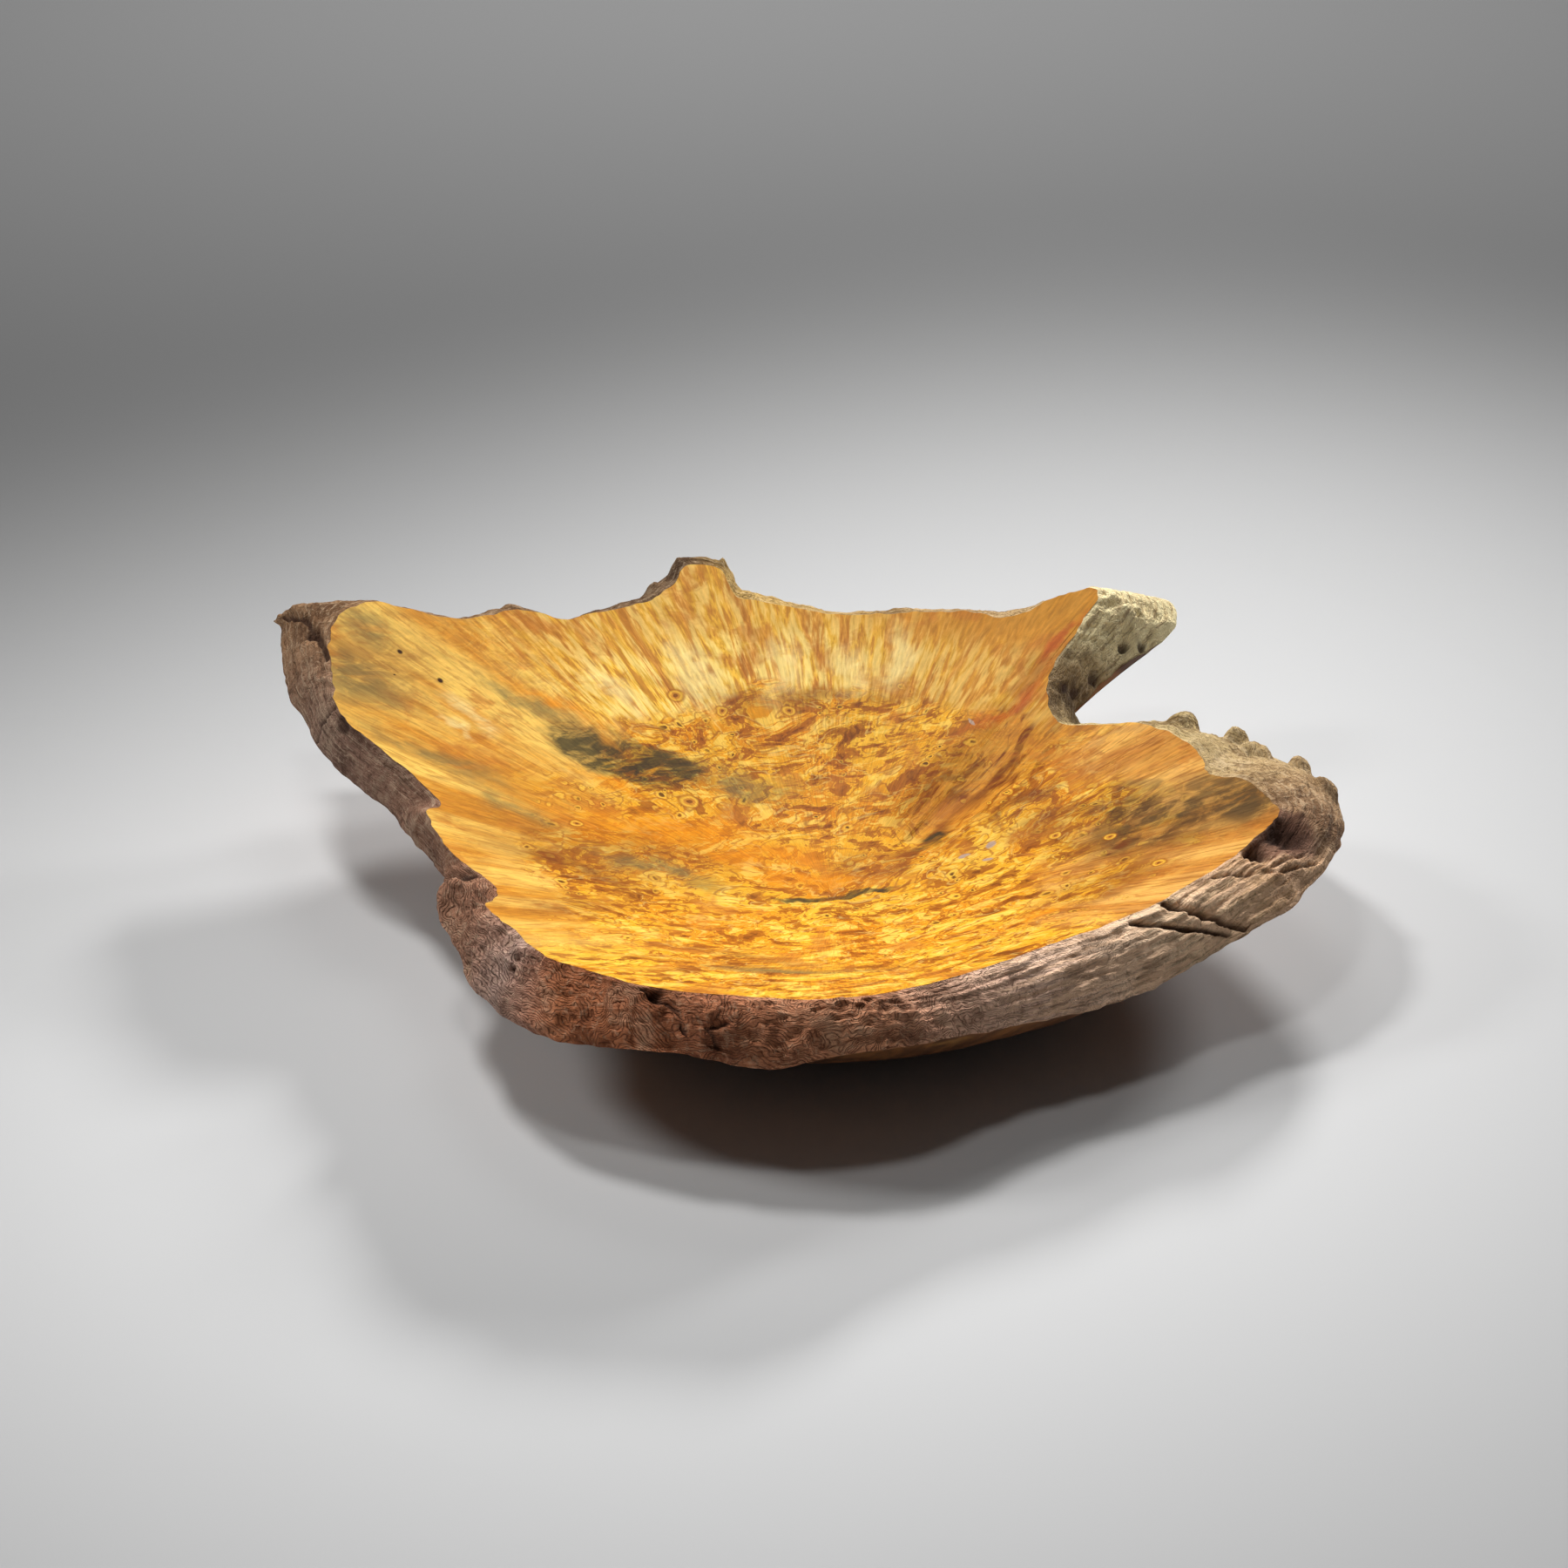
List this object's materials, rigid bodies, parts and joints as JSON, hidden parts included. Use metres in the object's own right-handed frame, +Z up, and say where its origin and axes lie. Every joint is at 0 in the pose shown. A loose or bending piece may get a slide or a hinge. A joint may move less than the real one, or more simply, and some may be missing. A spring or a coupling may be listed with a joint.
{
  "type": "maple burl bowl",
  "caption": "Shallow natural-edge bowl turned from one maple burl: smooth figured inside, rough untouched burl skin round a notched, lobed rim, flat foot.",
  "frame": {"origin": "centre of the flat foot, on the surface the bowl stands on", "axes": "+X to the lobe beyond the notch, +Y to the knob at the back of the rim, +Z up out of the bowl"},
  "size_m": [0.455, 0.4326, 0.0986],
  "materials": {
    "burl_wood": "golden bird's-eye maple, satin polished inside and out, raw grey-brown burl skin at the rim"
  },
  "bodies": {
    "root": {"burl_bowl": "burl_wood"}
  },
  "joints": []
}
